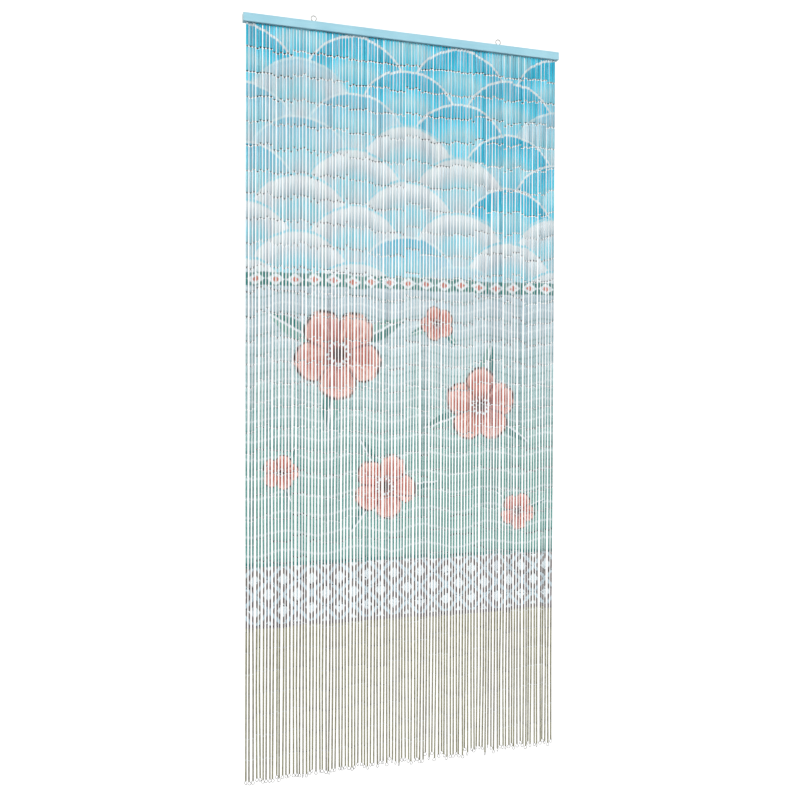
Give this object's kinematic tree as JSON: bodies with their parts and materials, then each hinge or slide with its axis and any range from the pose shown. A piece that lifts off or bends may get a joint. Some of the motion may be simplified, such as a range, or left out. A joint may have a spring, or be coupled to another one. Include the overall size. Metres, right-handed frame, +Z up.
{
  "type": "bamboo door curtain and header bar",
  "caption": "Door curtain of bamboo tube strands on wire links, hung side by side from a painted wooden header bar with two screw eyes.",
  "frame": {"origin": "midway between the two screw eyes, at the height where the hooks bear in their rings, on the curtain's middle plane", "axes": "+Z up, +X along the header bar to the right as seen from the painted front, -Y out of the painted front, +Y towards the wall or door frame"},
  "size_m": [0.9, 0.019, 2.0172],
  "materials": {
    "bar_paint": "light blue paint on wood, satin",
    "eye_steel": "zinc-plated wire, satin",
    "painted_bamboo": "bamboo tubes painted across the strands in blue, aqua, coral and sand, satin",
    "link_wire": "thin drawn steel wire of the links and end rings"
  },
  "bodies": {
    "root": {"header_bar": "bar_paint", "eye_left": "eye_steel", "eye_right": "eye_steel", "strands": "painted_bamboo"}
  },
  "joints": []
}
